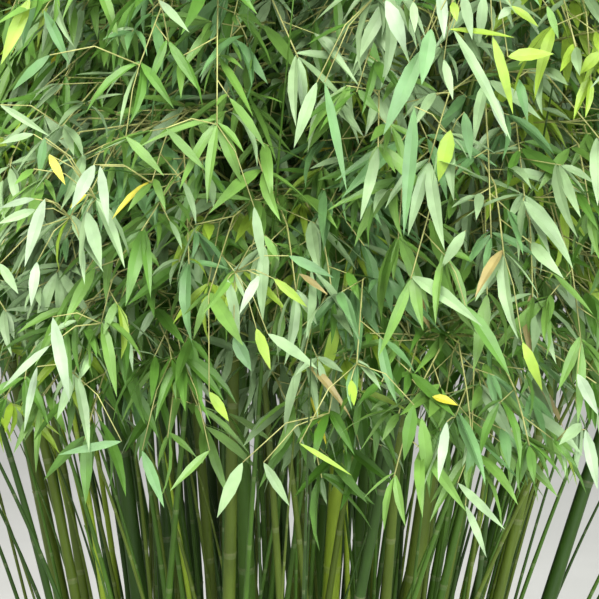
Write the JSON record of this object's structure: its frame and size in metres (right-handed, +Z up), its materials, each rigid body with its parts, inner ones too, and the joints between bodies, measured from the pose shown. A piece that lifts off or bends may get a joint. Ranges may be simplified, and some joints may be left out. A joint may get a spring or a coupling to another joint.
{
  "type": "potted clumping bamboo",
  "caption": "Tall clump of green bamboo canes with dense narrow drooping leaves, fanning out of a plain round clay pot.",
  "frame": {"origin": "centre of the pot's flat underside", "axes": "+Z up along the pot's axis and the clump, -Y towards the viewer of the picture, +X to the viewer's right"},
  "size_m": [2.0148, 1.9792, 3.2483],
  "materials": {
    "clay": "matte",
    "compost": "matte",
    "cane": "satin",
    "foliage": "satin"
  },
  "bodies": {
    "root": {"pot": "clay", "soil": "compost", "culm_01": "cane", "foliage_01": "foliage", "culm_02": "cane", "culm_03": "cane", "foliage_03": "foliage", "culm_04": "cane", "culm_05": "cane", "foliage_05": "foliage", "culm_06": "cane", "culm_07": "cane", "foliage_07": "foliage", "culm_08": "cane", "culm_09": "cane", "foliage_09": "foliage", "culm_10": "cane", "culm_11": "cane", "foliage_11": "foliage", "culm_12": "cane", "culm_13": "cane", "foliage_13": "foliage", "culm_14": "cane", "culm_15": "cane", "foliage_15": "foliage", "culm_16": "cane", "culm_17": "cane", "foliage_17": "foliage", "culm_18": "cane", "culm_19": "cane", "foliage_19": "foliage", "culm_20": "cane", "culm_21": "cane", "foliage_21": "foliage", "culm_22": "cane", "culm_23": "cane", "foliage_23": "foliage", "culm_24": "cane", "culm_25": "cane", "foliage_25": "foliage", "culm_26": "cane", "culm_27": "cane", "foliage_27": "foliage", "culm_28": "cane", "culm_29": "cane", "foliage_29": "foliage", "culm_30": "cane", "culm_31": "cane", "foliage_31": "foliage", "culm_32": "cane", "culm_33": "cane", "foliage_33": "foliage", "culm_34": "cane", "culm_35": "cane", "foliage_35": "foliage", "culm_36": "cane", "culm_37": "cane", "foliage_37": "foliage", "culm_38": "cane"}
  },
  "joints": []
}
